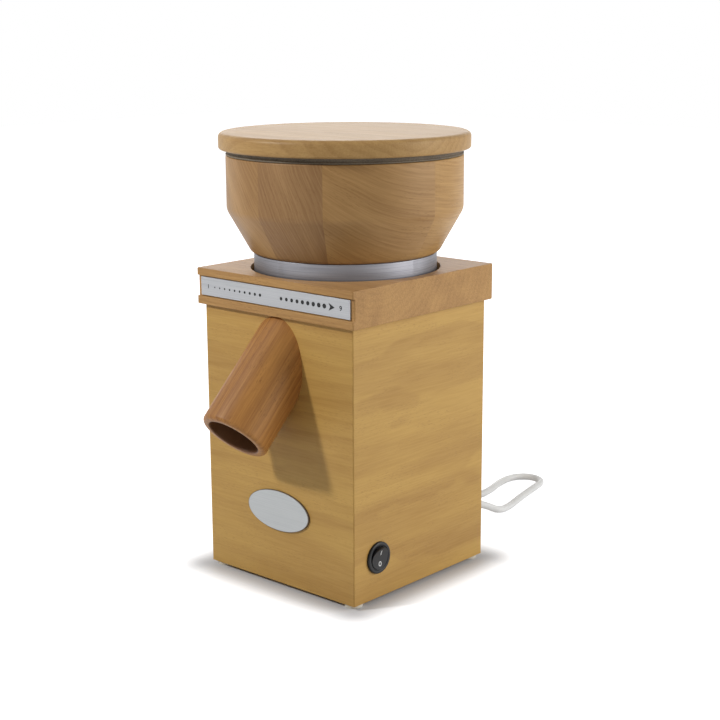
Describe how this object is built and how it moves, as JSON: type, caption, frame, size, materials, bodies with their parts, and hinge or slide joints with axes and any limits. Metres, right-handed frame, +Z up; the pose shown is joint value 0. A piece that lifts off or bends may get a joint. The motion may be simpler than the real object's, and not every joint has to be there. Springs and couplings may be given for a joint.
{
  "type": "electric grain mill",
  "caption": "Electric grain mill with a square wooden casing, a screw-on round wooden hopper and lid, a slanted flour spout, a grind scale and a rocker switch.",
  "frame": {"origin": "on the surface that the mill stands on, below the motor shaft's axis", "axes": "+Z up along the motor shaft, -Y towards the spout and scale, +X towards the switch"},
  "size_m": [0.2326, 0.3917, 0.325],
  "materials": {
    "casing_wood": "oiled beech, horizontal grain",
    "cover_wood": "oiled beech, slightly redder",
    "spout_wood": "oiled beech, darker, grain along the tube",
    "bowl_wood": "oiled beech staves",
    "lid_wood": "oiled beech, pale",
    "inner_wood": "plain beech",
    "plate_metal": "satin anodised",
    "badge_metal": "satin, pale",
    "foot_rubber": "translucent whitish",
    "switch_black": "black, half gloss",
    "rocker_black": "black with white marks",
    "brass_parts": "tinned brass",
    "cord_white": "white, matt",
    "tie_black": "hook and loop tape",
    "plug_white": "white moulded",
    "nickel_pins": "nickel plated",
    "cast_alloy": "cast and turned",
    "collar_alloy": "turned, brushed",
    "seal_felt": "felt",
    "stone": "ceramic bound corundum, matt",
    "zinc_steel": "zinc plated",
    "slip_plastic": "white slippery plastic",
    "motor_paint": "dark grey paint",
    "lamination_steel": "stacked sheet",
    "winding_copper": "lacquered copper wire",
    "fan_plastic": "black",
    "capacitor_shell": "grey white",
    "terminal_plastic": "white",
    "guard_steel": "stainless, punched",
    "seal_rubber": "dark grey brown"
  },
  "bodies": {
    "casing": {"badge_plate": "badge_metal", "base_board": "inner_wood", "capacitor_clip": "zinc_steel", "cord_coil": "cord_white", "cord_tie": "tie_black", "corner_posts": "inner_wood", "cover_screws": "zinc_steel", "feet": "foot_rubber", "foot_screws": "zinc_steel", "front_panel": "casing_wood", "gland_nut": "cord_white", "left_panel": "casing_wood", "lift_spring_1": "zinc_steel", "lift_spring_2": "zinc_steel", "lift_spring_3": "zinc_steel", "lower_bearing": "zinc_steel", "lower_end_shield": "cast_alloy", "lower_winding": "winding_copper", "mill_chamber": "cast_alloy", "motor_bolts": "zinc_steel", "motor_housing": "motor_paint", "plug_body": "plug_white", "plug_lead": "cord_white", "plug_pins": "nickel_pins", "power_cord": "cord_white", "rear_panel": "casing_wood", "right_panel": "casing_wood", "ring_screws": "zinc_steel", "run_capacitor": "capacitor_shell", "scale_plate": "plate_metal", "shaft_seal": "seal_felt", "spout_tube": "spout_wood", "stator_core": "lamination_steel", "strain_relief": "cord_white", "switch_housing": "switch_black", "switch_terminals": "brass_parts", "terminal_block": "terminal_plastic", "thread_ring": "cast_alloy", "top_cover": "cover_wood", "upper_bearing": "zinc_steel", "upper_end_shield": "cast_alloy", "upper_winding": "winding_copper"},
    "spindle": {"motor_shaft": "zinc_steel", "rotor_core": "lamination_steel", "cooling_fan": "fan_plastic", "stone_rotor": "cast_alloy", "lower_stone": "stone", "stone_nut": "zinc_steel"},
    "rocker": {"switch_rocker": "rocker_black"},
    "stone_lift": {"upper_stone": "stone", "upper_stone_holder": "cast_alloy"},
    "turning_ring": {"slip_ring": "slip_plastic"},
    "hopper": {"hopper_collar": "collar_alloy", "hopper_bowl": "bowl_wood", "grain_guard": "guard_steel", "collar_screws": "zinc_steel"},
    "lid": {"lid_disc": "lid_wood", "lid_spigot": "inner_wood", "lid_seal": "seal_rubber"}
  },
  "joints": [
    {"name": "motor_spin", "type": "hinge", "parent": "casing", "child": "spindle", "pos_m": [0, 0, 0.15], "axis": [0, 0, 1], "continuous": true},
    {"name": "switch_rock", "type": "hinge", "parent": "casing", "child": "rocker", "pos_m": [0.0745, -0.0475, 0.033], "axis": [0, -1, 0], "range_deg": [0, 16]},
    {"name": "stone_rise", "type": "slide", "parent": "casing", "child": "stone_lift", "axis": [0, 0, 1], "range_m": [0, 0.0009], "deforming": ["lift_spring_1", "lift_spring_2", "lift_spring_3"]},
    {"name": "hopper_turn", "type": "hinge", "parent": "stone_lift", "child": "turning_ring", "pos_m": [0, 0, 0.2235], "axis": [0, 0, 1], "range_deg": [0, 105]},
    {"name": "hopper_lift", "type": "slide", "parent": "turning_ring", "child": "hopper", "axis": [0, 0, 1], "range_m": [0, 0.12]},
    {"name": "lid_lift", "type": "slide", "parent": "hopper", "child": "lid", "axis": [0, 0, 1], "range_m": [0, 0.1]}
  ],
  "couplings": [
    {"joint": "stone_rise", "follows": "hopper_turn", "m_per_rad": 0.00047746}
  ]
}
